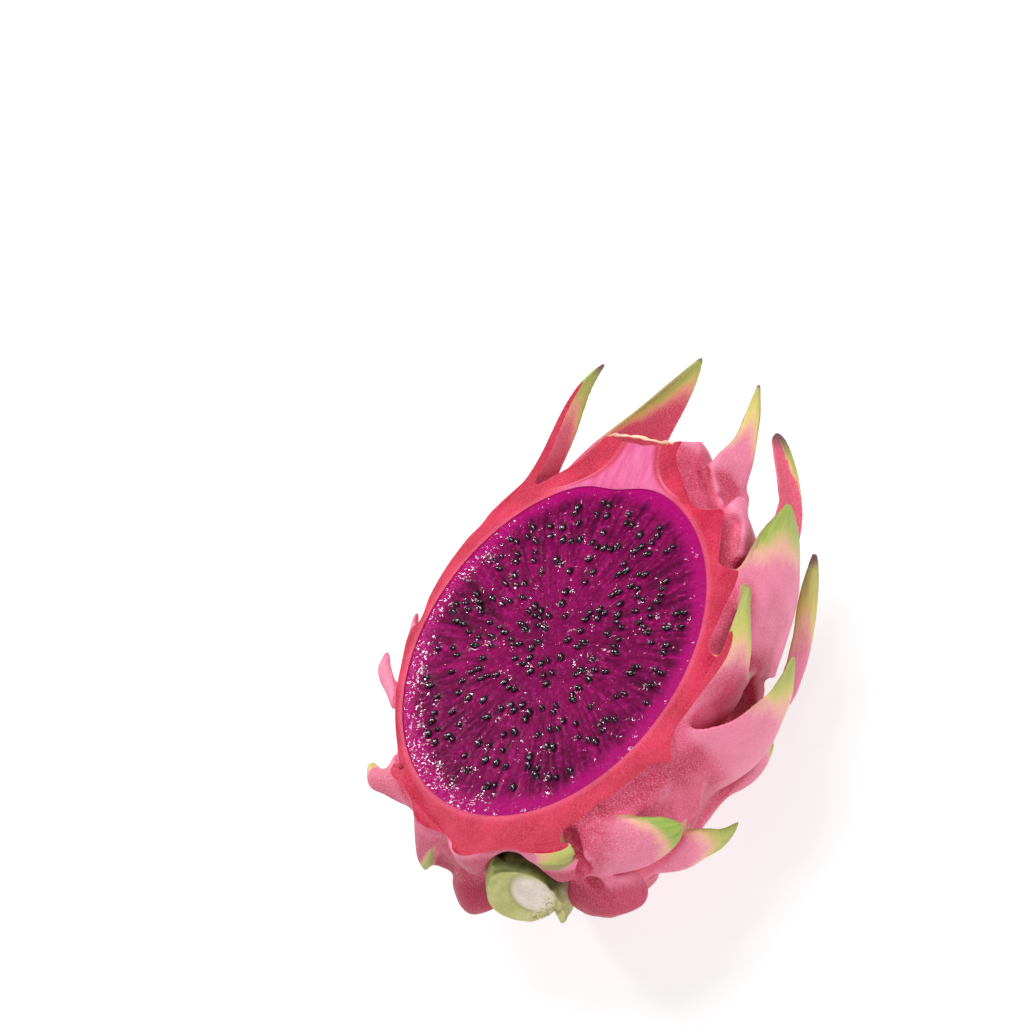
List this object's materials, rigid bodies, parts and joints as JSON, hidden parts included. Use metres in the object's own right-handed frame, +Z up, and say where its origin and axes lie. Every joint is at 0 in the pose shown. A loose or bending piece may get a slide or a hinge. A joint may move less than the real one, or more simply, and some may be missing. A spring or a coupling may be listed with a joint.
{
  "type": "dragon fruit half",
  "caption": "Red-fleshed dragon fruit cut lengthwise, lying on its rind: a bowl of leafy-scaled rind filled with dark-seeded flesh, with a stub of stem.",
  "frame": {"origin": "middle of the flat spot that the fruit rests on", "axes": "+X towards the right of the cut face, +Y towards the blossom end, +Z up, square to the cut face"},
  "size_m": [0.1007, 0.148, 0.0536],
  "materials": {
    "rind": "waxy pink skin with green bract tips, damp coral cut edge",
    "flesh": "wet fibrous magenta flesh with glossy black seeds",
    "stem": "rough green sleeve round a cream cut core"
  },
  "bodies": {
    "root": {"rind": "rind", "flesh": "flesh", "stem": "stem"}
  },
  "joints": []
}
